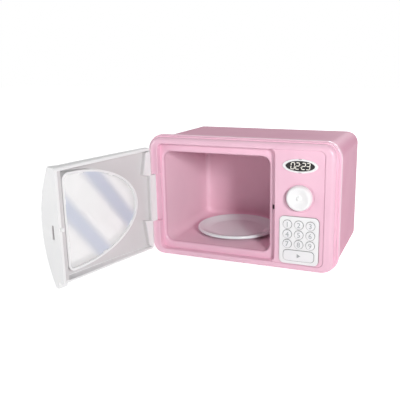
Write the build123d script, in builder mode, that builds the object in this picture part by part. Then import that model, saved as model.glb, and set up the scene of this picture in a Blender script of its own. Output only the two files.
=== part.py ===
from build123d import *
from math import cos, radians, sin, sqrt
import os

# Body: overall size of the closed casing, and what every moulding shares
body_width = 290
body_height = 187.2
body_depth = 185
wall = 2.2
overrun = 1
seat_gap = 0.3
slip = 0.1
floor_gap = 0.6

# Front frame: depths are counted backwards from the crest of its rim
frame_depth = 18
lip_length = 5
lip_radius = 24
lip_round = 1.6
neck_front = 8
neck_inset = 3
neck_radius = 20
rim_inset = 6
rim_top_inset = 3.1
rim_bottom_inset = 1.6
rim_radius = 17
rim_round = 6.4
rim_wall = 3.2
pocket_left_land = 14
pocket_right_land = 13.7
pocket_top_land = 9.1
pocket_radius = 8
pocket_round = 1.6
recess_bottom_land = 9.8
panel_bottom_land = 9.2
panel_width = 70
panel_depth = 2
panel_round = 1.4
recess_depth = 11.3
opening_left_land = 4.5
opening_right_land = 9.9
opening_bottom_land = 9.4
opening_top_land = 13
opening_radius = 11.5
opening_round = 3
collar_length = 6
tongue_length = 5
tongue_wall = 2

# Rear housing: front section at the frame, back section at the back wall
shell_front_inset = 3
shell_front_drop = 4.7
shell_front_radius = 22.5
shell_back_inset = 6
shell_back_drop = 10.7
shell_back_radius = 17.5
shell_back_round = 10
underside_cut = 1
grille_slots = 7
grille_slot = 2.2
grille_margin = 2.5

# Cavity liner: the oven box behind the recess
liner_back_gap = 6
liner_wall = 2
liner_corner = 8
flange_width = 4
flange_thickness = 2
ear_radius = 4.5
ear_boss = 3.2
ear_span = 95

# Fasteners: head radius, head height, shank radius and boss radius of each size
screw_head = 2.5
screw_head_height = 1.5
screw_shank = 1.2
screw_boss = 2.5
screw_length = 6.2
long_head = 2.8
long_head_height = 2.2
long_shank = 1.3
long_length = 20
post_inset = 19
post_low = 13.5
post_drop = 24.7
post_radius = 4.5
well_wall = 1.2
well_clearance = 0.8
well_floor = 2
post_end = 46
thread_gap = 0.05

# Door: s runs from the hinge axis to the free edge, and thickness runs outwards from the inner rim
hinge_inset = 4.7
hinge_depth = 2.6
door_open = 105
door_reach = 7
door_start = 10.2
corner_ease = 1.7
door_foot_cut = 2.8
door_gap = 1.4
door_low_gap = 1.6
door_high_gap = 4
door_hinge_thickness = 9.6
door_middle_thickness = 15.5
door_edge_thickness = 17.5
door_rim = 4.4
door_wall = 2.4
door_round = 3.5
door_ledge_width = 6
door_ledge_drop = 1.2
handle_width = 14.6
handle_height = 39
handle_drop = 7.6
handle_low_thickness = 20.5
handle_high_thickness = 17.8
handle_round = 5
handle_lap = 10.2
door_ledge_thickness = 2
barrel_radius = 3.4
barrel_gap = 0.8
barrel_arm = 5
notch_length = 73
notch_depth = 9.2
pin_radius = 1.1
pin_length = 20
pin_depth = 10
pin_gap = 0.05
hinge_block_drop = 0.4
block_reach = 17
upper_block_shares = ((0, 0.962), (0.63, 0.958), (1, 0.751), (0, 0.719))
lower_block_shares = ((0, 0.284), (1, 0.303), (0.62, 0.047), (0, 0.015))

# Door window: half an ellipse whose round side points at the hinge
window_edge_land = 11.7
window_flat = 12
window_hinge_land = 31.8
window_low_land = 14.4
window_high_land = 9
window_corner = 10
window_wall = 3
window_wall_drop = 1
pane_drop = 3.2
pane_thickness = 2
pane_ledge = 2
clip_length = 7
clip_thickness = 1.2
clip_reach = 1.4
clip_turns = (100, 128, 206, 243)
clip_span = 58

# Door latch: hook in the door's edge and the hole that it drops into
latch_inset = 2.5
latch_drop = 1.8
latch_thickness = 2
latch_width = 5
latch_nose = 5.5
latch_root = 9
latch_barb = 0.5
latch_barb_length = 1.5
latch_play = 0.9
slit_drop = 6.3
slit_length = 19.4
slit_start = 11
slit_width = 4.4

# Display: oval bezel, dark pane and the lit module behind it
control_shift = 0.9
display_height_share = 0.8698
bezel_long = 24.5
bezel_short = 9.8
bezel_proud = 1.5
bezel_round = 0.8
bezel_collar = 1.9
bezel_collar_length = 3
bezel_band_long = 4.2
bezel_band_short = 2.5
lens_drop = 0.8
lens_thickness = 2
module_width = 33
module_height = 10
module_thickness = 4.2
display_board_width = 47
display_board_height = 22
board_thickness = 1.6

# Knob: turned profile, with radii from its axis and heights from the panel
knob_height_share = 0.5985
knob_radius = 18
knob_proud = 10.6
knob_skirt = 3
knob_shoulder = 3.4
knob_dish = 3.4
nub_radius = 3.6
nub_proud = 2.8
nub_lean = 0.25
shoulder_rise = 1.4
shoulder_run = 0.9
knob_floor = 0.7
knob_seat_land = 2.8
knob_seat_depth = 1.1
shaft_radius = 3
shaft_gap = 0.05
shaft_grip = 6
shaft_hole = 3.6
switch_width = 14
switch_neck = 4.6
switch_neck_height = 1

# Keypad: plate on the panel, nine round buttons and a wide one
keypad_side_land = 7
keypad_lift = 1
keypad_top_share = 0.4321
keypad_radius = 7
keypad_proud = 1.8
keypad_round = 0.8
keypad_hole_round = 0.3
keypad_seat_depth = 0.6
keypad_seat_land = 0.6
window_inset = 2.6
button_rows = 3
button_land = 2
button_head_land = 5.6
button_side_land = 5.6
button_gap = 0.55
button_proud = 0.9
button_round = 0.7
button_flange = 0.85
button_flange_thickness = 1
button_stem = 2
button_travel = 1.2
start_side_land = 6.2
start_foot_land = 5
start_head_land = 2.8
start_height = 15.6
start_radius = 5.4
board_depth = 11.5
board_margin = 3.4
board_bottom = 19
board_rise = 18.7
tact_width = 6
tact_height = 3.5
tact_plunger = 1.5
tact_plunger_height = 1

# Turntable: plate, keyed hub and the flat gear motor under the floor
turntable_shift = 2.55
turntable_fore = 1.65
plate_radius = 60.8
plate_well = 42
plate_thickness = 2.4
plate_rise = 5.2
plate_lip = 5
well_slope = 0.1
rim_slope = 0.3
hub_radius = 14
hub_thickness = 1.4
hub_key_radius = 7.5
hub_key_height = 1.3
hub_sides = 6
key_gap = 0.15
hub_shaft = 2.5
hub_shaft_length = 11
motor_radius = 17
motor_height = 13
motor_ear_thickness = 2
motor_ear_gap = 0.5
motor_ear_radius = 4
motor_boss_height = 5

# Speaker behind the grille
speaker_inset = 53
speaker_drop = 54.2
speaker_radius = 20
speaker_rim = 2
speaker_depth = 3.5
magnet_radius = 9
magnet_height = 7
speaker_ring = 1.6
speaker_ring_height = 4

# Batteries: three cells across the casing, in a box that opens through the back wall
cell_radius = 7.1
cell_length = 49.4
cell_count = 3
cell_gap = 1.4
cell_nub = 2.6
cell_nub_height = 1.1
contact_room = 2.6
contact_thickness = 0.5
contact_width = 10
spring_radius = 4
spring_tip = 2.5
box_wall = 1.6
box_inset = 55
box_height = 50
cell_room = 1
box_flange = 3
box_flange_thickness = 1.5
box_screw_bay = 9
cover_gap = 0.3
cover_radius = 2.5
cover_rib = 1.2
cover_rib_pitch = 4
cover_ribs = 5
cover_rib_length = 16
cover_rib_depth = 0.6

# Places worked out from the sizes above
half_width = body_width / 2
rim_half = half_width - rim_inset
lip_bottom = floor_gap
rim_bottom = lip_bottom + rim_bottom_inset
rim_top = body_height - rim_top_inset
pocket_x0 = -rim_half + pocket_left_land
pocket_x1 = rim_half - pocket_right_land
pocket_top = rim_top - pocket_top_land
recess_bottom = rim_bottom + recess_bottom_land
panel_bottom = rim_bottom + panel_bottom_land
panel_x0 = pocket_x1 - panel_width
panel_back = panel_depth + wall
floor_back = recess_depth + wall
opening_x0 = pocket_x0 + opening_left_land
opening_x1 = panel_x0 - opening_right_land
opening_z0 = recess_bottom + opening_bottom_land
opening_z1 = pocket_top - opening_top_land
collar_end = recess_depth + collar_length
back_inner = body_depth - wall
lip_front = frame_depth - lip_length
liner_depth = body_depth - liner_back_gap
post_x = half_width - post_inset
post_high = body_height - post_drop
well_bore = long_head + well_clearance
well_radius = well_bore + well_wall
hinge_x = -rim_half + hinge_inset
door_end = panel_x0 - hinge_x - door_gap
door_bottom = recess_bottom + door_low_gap
door_top = pocket_top - door_high_gap
door_middle = (door_bottom + door_top) / 2
door_corner = pocket_radius - corner_ease
handle_low = door_bottom - handle_drop
notch_low = door_middle - notch_length / 2
notch_high = door_middle + notch_length / 2
upper_block, lower_block = (
    [
        (door_start + across * block_reach, door_bottom + up * (door_top - door_bottom))
        for across, up in shares
    ]
    for shares in (upper_block_shares, lower_block_shares)
)
window_straight = door_end - window_edge_land
window_centre = window_straight - window_flat
window_long = window_centre - door_start - window_hinge_land
window_short = (door_top - window_high_land - door_bottom - window_low_land) / 2
window_height = door_bottom + window_low_land + window_short
latch_reach = door_end - latch_inset
latch_height = door_middle - latch_drop
slit_low = latch_height - slit_drop - slit_length / 2
slit_high = latch_height - slit_drop + slit_length / 2
panel_height = pocket_top - panel_bottom
control_x = (panel_x0 + pocket_x1) / 2 + control_shift
display_height = panel_bottom + display_height_share * panel_height
lens_long = bezel_long - bezel_band_long
lens_short = bezel_short - bezel_band_short
knob_height = panel_bottom + knob_height_share * panel_height
knob_crest = knob_radius - knob_shoulder
knob_seat_radius = knob_radius + knob_seat_land
keypad_width = panel_width - 2 * keypad_side_land
keypad_bottom = panel_bottom + keypad_lift
keypad_top = panel_bottom + keypad_top_share * panel_height
keypad_seat = panel_depth + keypad_seat_depth
start_centre = keypad_bottom + start_foot_land + start_height / 2
buttons_low = keypad_bottom + start_foot_land + start_height + start_head_land
button_pitch_z = (keypad_top - button_head_land - buttons_low + button_land) / button_rows
button_radius = (button_pitch_z - button_land) / 2
button_top_row = keypad_top - button_head_land - button_radius
button_pitch_x = keypad_width / 2 - button_side_land - button_radius
start_width = keypad_width - 2 * start_side_land
board_top = knob_height + board_rise
turntable_x = (opening_x0 + opening_x1) / 2 + turntable_shift
turntable_depth = (collar_end + liner_depth) / 2 - turntable_fore
motor_ear_reach = motor_radius + motor_ear_radius + motor_ear_gap
speaker_x = half_width - speaker_inset
speaker_height = body_height - speaker_drop
grille_radius = speaker_radius - grille_margin
box_x = half_width - box_inset
cell_pitch = 2 * cell_radius + cell_gap
box_depth_inside = 2 * cell_radius + cell_room


def depth_y(depth):
    """Place along Y of a depth counted back from the crest of the rim."""
    return depth - body_depth / 2


def facing(depth):
    """Plane that faces the viewer at a depth; its sketches are seen from the front."""
    return Plane.XZ.offset(-depth_y(depth))


def box_outline(x0, x1, z0, z1, radius):
    """Rounded rectangle between four sides, drawn in the open sketch."""
    with Locations(((x0 + x1) / 2, (z0 + z1) / 2)):
        RectangleRounded(x1 - x0, z1 - z0, radius)


def plain_outline(x0, x1, z0, z1):
    """Square-cornered rectangle between four sides, drawn in the open sketch."""
    with Locations(((x0 + x1) / 2, (z0 + z1) / 2)):
        Rectangle(x1 - x0, z1 - z0)


def shell_outline(depth, inset, below=0):
    """Outline of the rear housing at a depth, drawn inwards by an inset, in the open sketch.

    Its underside can be drawn lower, to be cut off flat.
    """
    share = (depth - frame_depth) / (body_depth - frame_depth)
    side = half_width - shell_front_inset - share * (shell_back_inset - shell_front_inset) - inset
    top = body_height - shell_front_drop - share * (shell_back_drop - shell_front_drop) - inset
    radius = shell_front_radius + share * (shell_back_radius - shell_front_radius) - inset
    box_outline(-side, side, inset - below, top, radius)


def window_outline(inset):
    """Outline of the door's window, drawn inwards by an inset: half an ellipse with a straight side."""
    low = window_height - window_short + inset
    high = window_height + window_short - inset
    with BuildSketch() as outline:
        with Locations((window_centre, window_height)):
            Ellipse(window_long - inset, window_short - inset)
        with Locations((window_centre + window_long / 2, window_height)):
            Rectangle(window_long, 2 * window_short, mode=Mode.SUBTRACT)
        plain_outline(window_centre, window_straight - inset, low, high)
        fillet(outline.vertices().group_by(Axis.X)[-1], window_corner - inset)
    return outline.sketch


def door_level(height):
    """Level plane from the hinge axis: first axis along the door, second towards its inner side."""
    return Plane(origin=(hinge_x, hinge_y, height), x_dir=along, z_dir=(0, 0, 1))


def door_face(thickness):
    """Plane parallel to the door's inner rim, at a thickness outwards from it."""
    return Plane(origin=door_root - inward * thickness, x_dir=along, z_dir=-inward)


def door_side(reach):
    """Upright plane across the door, at a reach from the hinge axis, looking towards the hinge."""
    return Plane(origin=door_root + along * reach, x_dir=-inward, z_dir=-along)


def bow(height):
    """Thickness of the door's free edge at a height, on the arc of the handle."""
    return bow_centre + sqrt(bow_radius**2 - (height - bow_middle) ** 2)


def round_tray(low, high, start, end, trim):
    """Slab of the door between two heights and two reaches, with its bowed outer side trimmed inwards."""
    with BuildPart() as slab:
        with BuildSketch(door_level(low)):
            with BuildLine():
                Polyline(
                    (start, door_reach - door_hinge_thickness + trim),
                    (start, door_reach + trim),
                    (end, door_reach + trim),
                    (end, door_reach - door_edge_thickness + trim),
                )
                ThreePointArc(
                    (end, door_reach - door_edge_thickness + trim),
                    ((start + end) / 2, door_reach - door_middle_thickness + trim),
                    (start, door_reach - door_hinge_thickness + trim),
                )
            make_face()
        extrude(amount=high - low)
    return slab.part


def stepped_screw(depth, places, head, head_height, shank, length):
    """Screws whose heads rest at a depth, with their shanks towards the viewer."""
    with BuildPart() as screws:
        with BuildSketch(facing(depth + head_height)):
            with Locations(*places):
                Circle(head)
        extrude(amount=head_height)
        with BuildSketch(facing(depth)):
            with Locations(*places):
                Circle(shank)
        extrude(amount=length)
    return screws.part


def save(shape, name):
    """Label a finished piece and write it under its own name."""
    shape.label = name
    export_step(shape, f"parts/{name}.step")


os.makedirs("parts", exist_ok=True)
hinge_y = depth_y(hinge_depth)
turntable_y = depth_y(turntable_depth)
along = Vector(cos(radians(door_open)), -sin(radians(door_open)), 0)
inward = Vector(sin(radians(door_open)), cos(radians(door_open)), 0)
door_root = Vector(hinge_x, hinge_y, 0) + inward * door_reach
handle_middle = (handle_low + door_top) / 2
handle_arc = ThreePointArc(
    (handle_low_thickness, handle_low), (handle_height, handle_middle), (handle_high_thickness, door_top)
)
bow_radius = handle_arc.radius
bow_centre = handle_arc.arc_center.X
bow_middle = handle_arc.arc_center.Y
clip_places = [
    (
        window_centre + (window_long - window_wall) * cos(radians(turn)),
        window_height + (window_short - window_wall) * sin(radians(turn)),
    )
    for turn in clip_turns
] + [(window_straight - window_wall, window_height + side * clip_span / 2) for side in (-1, 1)]
motor_ears = [(turntable_x + side * motor_ear_reach, turntable_y) for side in (-1, 1)]
cells_x0 = box_x - (cell_length + cell_nub_height + 2 * contact_room + box_screw_bay) / 2
cells_x1 = cells_x0 + cell_length + cell_nub_height + 2 * contact_room
box_x0 = cells_x0 - box_wall
box_x1 = cells_x1 + box_screw_bay + box_wall
cells_z0 = box_height - cell_count * cell_pitch / 2
cells_z1 = box_height + cell_count * cell_pitch / 2
box_z0 = cells_z0 - box_wall
box_z1 = cells_z1 + box_wall
bay_x = (cells_x1 + box_wall + cells_x1 + box_screw_bay) / 2
posts = [(x, z) for x in (-post_x, post_x) for z in (post_low, post_high)]
opening_middle = (opening_x0 + opening_x1) / 2
ear_low = opening_z0 - liner_wall - screw_head - slip
ear_high = opening_z1 + liner_wall + screw_head + slip
ears = [(opening_middle + side * ear_span / 2, z) for side in (-1, 1) for z in (ear_low, ear_high)]
board_x0 = panel_x0 + board_margin
board_x1 = pocket_x1 - board_margin + slip
board_bosses = [
    (x, z)
    for x in (board_x0 + screw_boss, board_x1 - screw_boss)
    for z in (board_bottom + screw_boss, board_top - screw_boss)
]
display_bosses = [
    (
        control_x + across * (display_board_width / 2 - screw_boss),
        display_height + up * (display_board_height / 2 - screw_boss),
    )
    for across in (-1, 1)
    for up in (-1, 1)
]
keypad_x0 = control_x - keypad_width / 2
keypad_x1 = control_x + keypad_width / 2

# Space inside the front frame's hollow moulding, behind its visible skin
with BuildPart(mode=Mode.PRIVATE) as frame_space:
    with BuildSketch(facing(lip_front)):
        box_outline(wall - rim_half, rim_half - wall, rim_bottom + wall, rim_top - wall, rim_radius - wall)
    extrude(amount=lip_front - rim_wall)
    with BuildSketch(facing(frame_depth + overrun)):
        shell_outline(frame_depth, wall + tongue_wall + seat_gap)
    extrude(amount=frame_depth + overrun - lip_front)
    with BuildSketch(facing(floor_back)):
        box_outline(pocket_x0 - wall, panel_x0 + wall, recess_bottom - wall, pocket_top + wall, pocket_radius)
    extrude(amount=floor_back, mode=Mode.SUBTRACT)
    with BuildSketch(facing(panel_back)):
        box_outline(panel_x0 - wall, pocket_x1 + wall, panel_bottom - wall, pocket_top + wall, pocket_radius)
    extrude(amount=panel_back, mode=Mode.SUBTRACT)
    with BuildSketch(facing(collar_end)):
        box_outline(
            opening_x0 - wall, opening_x1 + wall, opening_z0 - wall, opening_z1 + wall, opening_radius + wall
        )
    extrude(amount=collar_end, mode=Mode.SUBTRACT)
    for low, high in ((notch_low - pin_depth - wall, notch_low), (notch_high, notch_high + pin_depth + wall)):
        with BuildSketch(facing(lip_front)):
            plain_outline(-rim_half, pocket_x0, low, high)
        extrude(amount=lip_front, mode=Mode.SUBTRACT)
    with BuildSketch(facing(notch_depth + wall)):
        plain_outline(-rim_half, pocket_x0, notch_low - wall, notch_high + wall)
    extrude(amount=notch_depth + wall, mode=Mode.SUBTRACT)
    with BuildSketch(facing(frame_depth + overrun)):
        with Locations(*posts):
            Circle(post_radius)
    extrude(amount=frame_depth + overrun, mode=Mode.SUBTRACT)
    with BuildSketch(facing(collar_end)):
        with Locations(*ears):
            Circle(ear_boss)
    extrude(amount=collar_length, mode=Mode.SUBTRACT)
    with BuildSketch(facing(board_depth)):
        with Locations(*board_bosses):
            Circle(screw_boss)
    extrude(amount=board_depth - panel_depth, mode=Mode.SUBTRACT)
    with BuildSketch(facing(panel_back + bezel_collar_length + module_thickness)):
        with Locations(*display_bosses):
            Circle(screw_boss)
    extrude(amount=bezel_collar_length + module_thickness, mode=Mode.SUBTRACT)

# Front frame: one moulding with the rim, the door recess and the panel for the controls
with BuildPart() as front_frame:
    with BuildSketch(facing(frame_depth)):
        box_outline(-half_width, half_width, lip_bottom, body_height, lip_radius)
    extrude(amount=lip_length)
    fillet(front_frame.edges().group_by(Axis.Y)[0], lip_round)
    with BuildSketch(facing(lip_front)):
        box_outline(
            neck_inset - half_width,
            half_width - neck_inset,
            lip_bottom + rim_bottom_inset / 2,
            body_height - rim_top_inset / 2,
            neck_radius,
        )
    extrude(amount=lip_front - neck_front)
    with BuildSketch(facing(neck_front)):
        box_outline(-rim_half, rim_half, rim_bottom, rim_top, rim_radius)
    extrude(amount=neck_front)
    fillet(front_frame.edges().group_by(Axis.Y)[0], rim_round)
    with BuildSketch(facing(panel_depth)) as pocket:
        plain_outline(pocket_x0, panel_x0, recess_bottom, pocket_top)
        plain_outline(panel_x0, pocket_x1, panel_bottom, pocket_top)
        fillet(pocket.vertices().group_by(Axis.X)[0], pocket_radius)
        fillet(pocket.vertices().group_by(Axis.X)[-1], pocket_radius)
    extrude(amount=panel_depth + overrun, mode=Mode.SUBTRACT)
    fillet(front_frame.faces().sort_by(Axis.Y)[0].inner_wires().edges(), pocket_round)
    with BuildSketch(facing(recess_depth)) as recess:
        plain_outline(pocket_x0, panel_x0, recess_bottom, pocket_top)
        fillet(recess.vertices().group_by(Axis.X)[0], pocket_radius)
    extrude(amount=recess_depth - panel_depth, mode=Mode.SUBTRACT)
    recess_middle = Vector(panel_x0, depth_y(recess_depth), (recess_bottom + pocket_top) / 2)
    fillet(front_frame.edges().filter_by(Axis.Y).sort_by_distance(recess_middle)[:2], pocket_radius)
    panel_edge = Vector(panel_x0, depth_y(panel_depth), (recess_bottom + pocket_top) / 2)
    fillet(front_frame.edges().filter_by(Axis.Z).sort_by_distance(panel_edge)[0], panel_round)
    with BuildSketch(facing(frame_depth)):
        box_outline(opening_x0, opening_x1, opening_z0, opening_z1, opening_radius)
    extrude(amount=frame_depth - recess_depth, mode=Mode.SUBTRACT)
    recess_floor = front_frame.faces().filter_by(Axis.Y).sort_by_distance(
        Vector(opening_x1 + opening_right_land / 2, depth_y(recess_depth), body_height / 2)
    )[0]
    fillet(recess_floor.inner_wires().edges(), opening_round)
    with BuildSketch(facing(frame_depth + tongue_length)) as tongue:
        shell_outline(frame_depth, wall + seat_gap)
    extrude(amount=tongue_length)
    with BuildSketch(facing(frame_depth)):
        with Locations(*posts):
            Circle(post_radius)
    extrude(amount=frame_depth - post_end)
    with BuildSketch(facing(frame_depth + tongue_length)):
        shell_outline(frame_depth, wall + tongue_wall + seat_gap)
        with Locations(*posts):
            Circle(post_radius, mode=Mode.SUBTRACT)
    extrude(amount=tongue_length, mode=Mode.SUBTRACT)
    add(frame_space.part, mode=Mode.SUBTRACT)
    with BuildSketch(facing(post_end)):
        with Locations(*posts):
            Circle(long_shank + thread_gap)
    extrude(amount=long_length, mode=Mode.SUBTRACT)
    with BuildSketch(facing(collar_end)):
        with Locations(*ears):
            Circle(screw_shank + thread_gap)
    extrude(amount=screw_length - flange_thickness, mode=Mode.SUBTRACT)
    with BuildSketch(facing(notch_depth)):
        plain_outline(-rim_half - overrun, pocket_x0 + overrun, notch_low, notch_high)
    extrude(amount=notch_depth + overrun, mode=Mode.SUBTRACT)
    with BuildSketch(Plane.XY.offset(notch_low - pin_depth)):
        with Locations((hinge_x, depth_y(hinge_depth))):
            Circle(pin_radius)
    extrude(amount=notch_high - notch_low + 2 * pin_depth, mode=Mode.SUBTRACT)
    with BuildSketch(facing(floor_back)):
        with Locations((hinge_x + latch_reach, latch_height)):
            Rectangle(latch_thickness + latch_barb + latch_play, latch_width + 2 * latch_play)
    extrude(amount=wall + overrun, mode=Mode.SUBTRACT)
    with BuildSketch(facing(panel_back)):
        box_outline(
            keypad_x0 + window_inset,
            keypad_x1 - window_inset,
            keypad_bottom + window_inset,
            keypad_top - window_inset,
            keypad_radius - window_inset,
        )
        with Locations((control_x, display_height)):
            Ellipse(lens_long + bezel_collar + seat_gap, lens_short + bezel_collar + seat_gap)
        with Locations((control_x, knob_height)):
            Circle(shaft_hole)
    extrude(amount=wall + overrun, mode=Mode.SUBTRACT)
    with BuildSketch(facing(panel_depth + knob_seat_depth)):
        with Locations((control_x, knob_height)):
            Circle(knob_seat_radius)
    extrude(amount=knob_seat_depth + overrun, mode=Mode.SUBTRACT)
    with BuildSketch(facing(keypad_seat)):
        box_outline(
            keypad_x0 - keypad_seat_land,
            keypad_x1 + keypad_seat_land,
            keypad_bottom - keypad_seat_land,
            keypad_top + keypad_seat_land,
            keypad_radius + keypad_seat_land,
        )
    extrude(amount=keypad_seat_depth + overrun, mode=Mode.SUBTRACT)
    with BuildSketch(facing(board_depth)):
        with Locations(*board_bosses):
            Circle(screw_shank + thread_gap)
    extrude(amount=screw_length - board_thickness, mode=Mode.SUBTRACT)
    with BuildSketch(facing(panel_back + bezel_collar_length + module_thickness)):
        with Locations(*display_bosses):
            Circle(screw_shank + thread_gap)
    extrude(amount=screw_length - board_thickness, mode=Mode.SUBTRACT)
save(front_frame.part, "front_frame")

# Inside of the rear housing
with BuildPart(mode=Mode.PRIVATE) as housing_space:
    with BuildSketch(facing(frame_depth - overrun)):
        shell_outline(frame_depth - overrun, wall)
    with BuildSketch(facing(back_inner)):
        shell_outline(back_inner, wall)
    loft(ruled=True)
    fillet(housing_space.faces().sort_by(Axis.Y)[-1].edges(), shell_back_round - wall)

# Rear housing: one deep shell with the back wall, the screw wells and the opening for the batteries
with BuildPart() as rear_housing:
    with BuildSketch(facing(frame_depth)):
        shell_outline(frame_depth, 0, underside_cut)
    with BuildSketch(facing(body_depth)):
        shell_outline(body_depth, 0, underside_cut)
    loft(ruled=True)
    fillet(rear_housing.faces().sort_by(Axis.Y)[-1].edges(), shell_back_round)
    with BuildSketch(Plane.XY):
        Rectangle(body_width, body_depth)
    extrude(amount=-underside_cut - overrun, mode=Mode.SUBTRACT)
    add(housing_space.part, mode=Mode.SUBTRACT)
    with BuildSketch(facing(back_inner)):
        with Locations(*posts):
            Circle(well_radius)
    extrude(amount=back_inner - post_end)
    with BuildSketch(facing(back_inner)):
        with Locations((speaker_x, speaker_height)):
            Circle(speaker_radius + seat_gap + speaker_ring)
            Circle(speaker_radius + seat_gap, mode=Mode.SUBTRACT)
    extrude(amount=speaker_ring_height)
    with BuildSketch(facing(body_depth)):
        with Locations(*posts):
            Circle(well_bore)
    extrude(amount=body_depth - post_end - well_floor, mode=Mode.SUBTRACT)
    with BuildSketch(facing(post_end + well_floor)):
        with Locations(*posts):
            Circle(long_shank + slip)
    extrude(amount=well_floor, mode=Mode.SUBTRACT)
    with BuildSketch(facing(body_depth)):
        for slot in range(grille_slots):
            across = grille_radius * (2 * slot - grille_slots + 1) / (grille_slots + 1)
            with Locations((speaker_x + across, speaker_height)):
                SlotOverall(2 * sqrt(grille_radius**2 - across**2), grille_slot, rotation=90)
        box_outline(
            box_x0 - cover_gap, box_x1 + cover_gap, box_z0 - cover_gap, box_z1 + cover_gap, cover_radius
        )
    extrude(amount=wall, mode=Mode.SUBTRACT)
save(rear_housing.part, "rear_housing")

# Space inside the oven box
with BuildPart(mode=Mode.PRIVATE) as oven_space:
    with BuildSketch(facing(liner_depth)):
        box_outline(opening_x0, opening_x1, opening_z0, opening_z1, opening_radius)
    extrude(amount=liner_depth - collar_end)
    fillet(oven_space.faces().sort_by(Axis.Y)[-1].edges(), liner_corner)

# Cavity liner: the oven box, with a flange that screws to the frame and bosses for the motor
with BuildPart() as cavity_liner:
    with BuildSketch(facing(liner_depth + liner_wall)):
        box_outline(
            opening_x0 - liner_wall,
            opening_x1 + liner_wall,
            opening_z0 - liner_wall,
            opening_z1 + liner_wall,
            opening_radius + liner_wall,
        )
    extrude(amount=liner_depth + liner_wall - collar_end)
    fillet(cavity_liner.faces().sort_by(Axis.Y)[-1].edges(), liner_corner + liner_wall)
    with BuildSketch(facing(collar_end + flange_thickness)):
        box_outline(
            opening_x0 - flange_width,
            opening_x1 + flange_width,
            opening_z0 - flange_width,
            opening_z1 + flange_width,
            opening_radius + flange_width,
        )
        with Locations(*ears):
            Circle(ear_radius)
    extrude(amount=flange_thickness)
    with BuildSketch(Plane.XY.offset(opening_z0 - liner_wall)):
        with Locations(*motor_ears):
            Circle(screw_boss)
    extrude(amount=-motor_boss_height)
    add(oven_space.part, mode=Mode.SUBTRACT)
    with BuildSketch(facing(collar_end + flange_thickness)):
        with Locations(*ears):
            Circle(screw_shank + thread_gap)
    extrude(amount=flange_thickness, mode=Mode.SUBTRACT)
    with BuildSketch(Plane.XY.offset(opening_z0)):
        with Locations((turntable_x, turntable_y)):
            Circle(hub_shaft + seat_gap)
    extrude(amount=-liner_wall, mode=Mode.SUBTRACT)
    with BuildSketch(Plane.XY.offset(opening_z0 - liner_wall - motor_boss_height)):
        with Locations(*motor_ears):
            Circle(screw_shank + thread_gap)
    extrude(amount=motor_boss_height, mode=Mode.SUBTRACT)
save(cavity_liner.part, "cavity_liner")

# Liner screws: through the flange's ears into the frame
with BuildPart() as liner_screws:
    with BuildSketch(facing(collar_end + flange_thickness + screw_head_height)):
        with Locations(*ears):
            Circle(screw_head)
    extrude(amount=screw_head_height)
    with BuildSketch(facing(collar_end + flange_thickness)):
        with Locations(*ears):
            Circle(screw_shank)
    extrude(amount=screw_length)
save(liner_screws.part, "liner_screws")

# Housing screws: at the bottom of the wells, into the frame's posts
with BuildPart() as housing_screws:
    with BuildSketch(facing(post_end + well_floor + long_head_height)):
        with Locations(*posts):
            Circle(long_head)
    extrude(amount=long_head_height)
    with BuildSketch(facing(post_end + well_floor)):
        with Locations(*posts):
            Circle(long_shank)
    extrude(amount=long_length)
save(housing_screws.part, "housing_screws")

# Hinge pins: two steel pins in the rim, through the ends of the door's barrel
with BuildPart() as hinge_pins:
    for low in (notch_low - pin_depth, notch_high + pin_depth - pin_length):
        with BuildSketch(Plane.XY.offset(low)):
            with Locations((hinge_x, hinge_y)):
                Circle(pin_radius)
        extrude(amount=pin_length)
save(hinge_pins.part, "hinge_pins")

# Outer form of the door: a bowed slab with the handle's bow along its free edge
with BuildPart(mode=Mode.PRIVATE) as door_form:
    add(round_tray(door_bottom, door_top, door_start, door_end, 0))
    corners = door_form.edges().filter_by(Axis((0, 0, 0), inward)).sort_by(Axis((0, 0, 0), along))
    fillet(corners[:2], door_corner)
    outer_side = door_form.faces().filter_by(GeomType.CYLINDER).sort_by(Axis.Z)[-1]
    fillet(outer_side.edges().sort_by(Axis((0, 0, 0), along))[:-1], door_round)
    with BuildSketch(door_side(door_end)):
        with BuildLine():
            Polyline(
                (handle_high_thickness, door_top),
                (door_round, door_top),
                (door_round, door_bottom),
                (handle_lap, door_bottom),
                (handle_lap, handle_low),
                (handle_low_thickness, handle_low),
            )
            ThreePointArc(
                (handle_low_thickness, handle_low),
                (handle_height, handle_middle),
                (handle_high_thickness, door_top),
            )
        make_face()
    extrude(amount=handle_width)
    arcs = door_form.edges().filter_by(GeomType.CIRCLE)
    fillet(arcs.filter_by(lambda edge: edge.length > door_top - door_bottom), handle_round)
    with BuildSketch(door_face(0)):
        with BuildLine():
            Polyline(
                (door_end, door_bottom),
                (door_end, door_bottom + door_foot_cut),
                (door_end - door_foot_cut, door_bottom),
                close=True,
            )
        make_face()
    extrude(amount=handle_lap, mode=Mode.SUBTRACT)

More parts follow.
